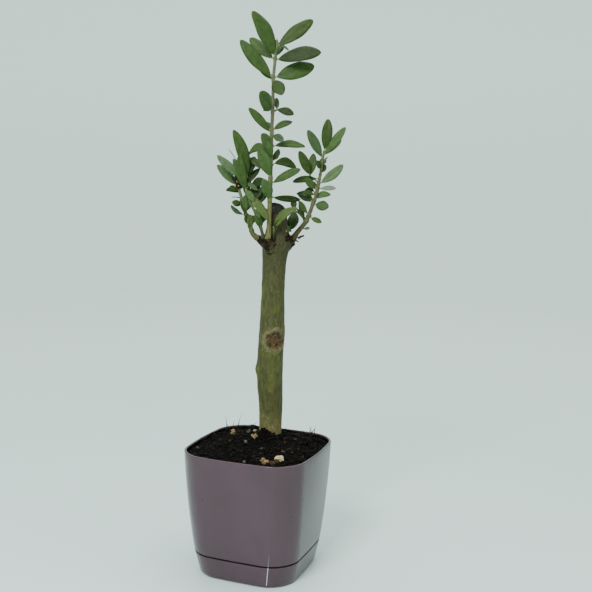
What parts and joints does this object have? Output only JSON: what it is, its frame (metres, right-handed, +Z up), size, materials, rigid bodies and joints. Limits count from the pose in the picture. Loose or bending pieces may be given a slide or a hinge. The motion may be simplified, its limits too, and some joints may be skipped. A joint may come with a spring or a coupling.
{
  "type": "potted olive sapling",
  "caption": "Young olive with a cut-back trunk and upright leafy shoots, in a square plastic pot with a saucer, for a table or a patio.",
  "frame": {"origin": "on the flat underside of the saucer, below the middle of the pot", "axes": "+Z up, +X and +Y across the sides of the pot, with the pictured front towards -Y"},
  "size_m": [0.1226, 0.12, 0.5043],
  "materials": {
    "pot_plastic": "glossy moulded mauve plastic",
    "soil": "moist black peat mix",
    "bark": "smooth green-grey olive bark",
    "shoot_bark": "young grey-beige bark",
    "leaves": "leathery green leaves, greyer beneath"
  },
  "bodies": {
    "root": {"saucer": "pot_plastic", "pot": "pot_plastic", "soil": "soil", "trunk": "bark", "bough_leader": "shoot_bark", "bough_inner": "shoot_bark", "bough_left": "shoot_bark", "bough_right": "shoot_bark", "mass_leader_low": "leaves", "mass_leader_middle": "leaves", "mass_leader_top": "leaves", "mass_low_sprout": "leaves", "mass_inner": "leaves", "mass_left": "leaves", "mass_right_low": "leaves", "mass_right_top": "leaves"}
  },
  "joints": []
}
